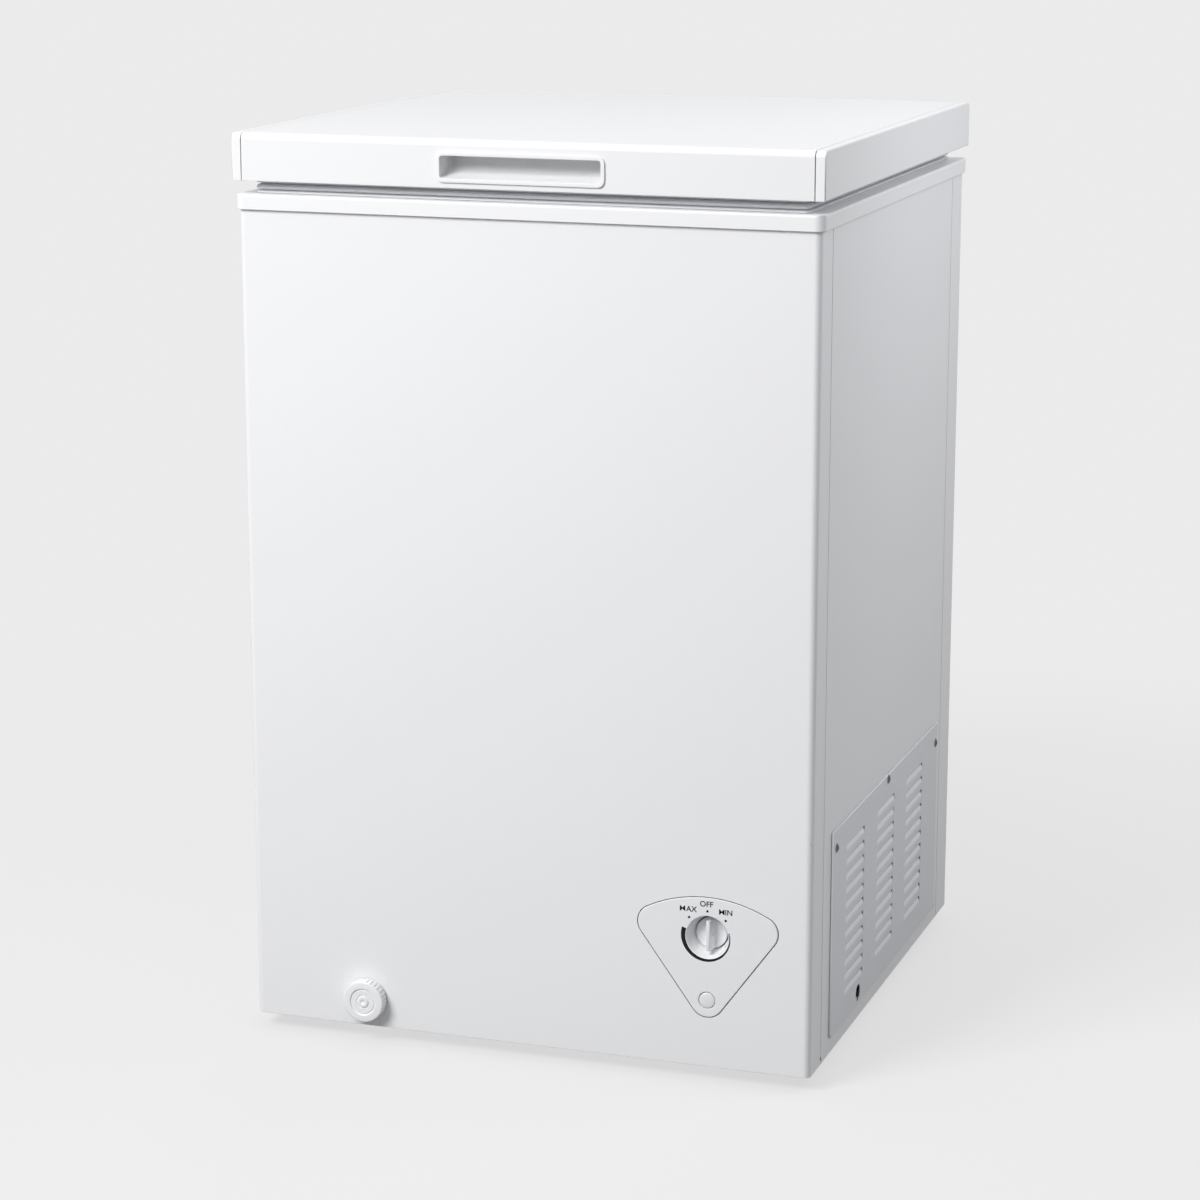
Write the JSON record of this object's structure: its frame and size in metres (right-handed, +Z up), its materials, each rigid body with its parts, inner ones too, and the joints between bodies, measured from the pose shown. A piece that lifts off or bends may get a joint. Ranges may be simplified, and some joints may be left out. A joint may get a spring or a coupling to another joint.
{
  "type": "chest freezer",
  "caption": "Small chest freezer with a rear-hinged insulated lid, recessed handle, front dial panel, drain dial and a louvred side vent cover.",
  "frame": {"origin": "on the floor at the centre of the overall footprint, drain dial and hinge ears included", "axes": "+Z up; the front face with the dial panel faces -Y; the side with the vent cover faces +X; the hinges are at +Y"},
  "size_m": [0.553, 0.571, 0.85],
  "materials": {
    "painted_steel": "gloss",
    "white_plastic": "gloss",
    "handle_plastic": "satin",
    "zinc_steel": "satin",
    "tank_aluminium": "satin",
    "foam": "matte",
    "chromed_screw": "polished",
    "dark_rubber": "matte",
    "grey_rubber": "matte",
    "black_paint": "satin",
    "black_plastic": "matte",
    "copper": "satin",
    "wire_jacket": "matte",
    "lens_plastic": "gloss",
    "lamp_glass": "gloss",
    "coated_wire": "gloss"
  },
  "bodies": {
    "cabinet": {"front_panel": "painted_steel", "left_side_panel": "painted_steel", "right_side_panel": "painted_steel", "rear_panel": "painted_steel", "base_pan": "zinc_steel", "top_trim": "white_plastic", "inner_liner": "tank_aluminium", "cabinet_foam": "foam", "machine_bulkhead": "zinc_steel", "vent_cover": "painted_steel", "vent_cover_screws": "chromed_screw", "feet": "dark_rubber", "compressor_tray": "zinc_steel", "compressor": "black_paint", "compressor_mounts": "dark_rubber", "compressor_bolts": "zinc_steel", "start_relay": "black_plastic", "process_tube": "copper", "discharge_tube": "copper", "suction_tube": "copper", "condenser_tube": "copper", "condenser_outlet_tube": "copper", "filter_drier": "copper", "capillary_tube": "copper", "evaporator_tube": "tank_aluminium", "thermostat": "zinc_steel", "thermostat_bulb": "copper", "wiring_harness": "wire_jacket", "control_panel": "white_plastic", "indicator_lens": "lens_plastic", "indicator_lamp": "lamp_glass", "drain_sleeve": "white_plastic", "drain_tube": "white_plastic", "drain_socket": "white_plastic", "cord_grommet": "dark_rubber", "hinge_brackets": "zinc_steel", "hinge_pins": "zinc_steel", "hinge_springs": "zinc_steel", "bracket_screws": "zinc_steel"},
    "lid": {"lid_cover": "painted_steel", "lid_end_cap_left": "white_plastic", "lid_end_cap_right": "white_plastic", "lid_liner": "white_plastic", "lid_foam": "foam", "lid_gasket": "grey_rubber", "handle_insert": "handle_plastic", "lid_hinge_leaves": "zinc_steel", "leaf_screws": "zinc_steel"},
    "knob": {"control_knob": "white_plastic", "thermostat_shaft": "zinc_steel"},
    "drain_pull": {"drain_spout": "white_plastic"},
    "drain_cap": {"drain_dial": "white_plastic"},
    "tank_plug": {"drain_plug": "dark_rubber"},
    "basket": {"wire_basket": "coated_wire"}
  },
  "joints": [
    {"name": "lid_hinge", "type": "hinge", "parent": "cabinet", "child": "lid", "pos_m": [0, 0.2775, 0.801], "axis": [-1, 0, 0], "range_deg": [0, 75]},
    {"name": "knob_turn", "type": "hinge", "parent": "cabinet", "child": "knob", "pos_m": [0.1755, -0.262, 0.139], "axis": [0, 1, 0], "range_deg": [0, 315]},
    {"name": "drain_pull_out", "type": "slide", "parent": "cabinet", "child": "drain_pull", "axis": [0, -1, 0], "range_m": [0, 0.015]},
    {"name": "drain_cap_turn", "type": "hinge", "parent": "drain_pull", "child": "drain_cap", "pos_m": [-0.1585, -0.28, 0.042], "axis": [0, 1, 0], "range_deg": [0, 180]},
    {"name": "tank_plug_lift", "type": "slide", "parent": "cabinet", "child": "tank_plug", "axis": [0, 0, 1], "range_m": [0, 0.025]},
    {"name": "basket_slide", "type": "slide", "parent": "cabinet", "child": "basket", "axis": [-1, 0, 0], "range_m": [0, 0.2]}
  ]
}
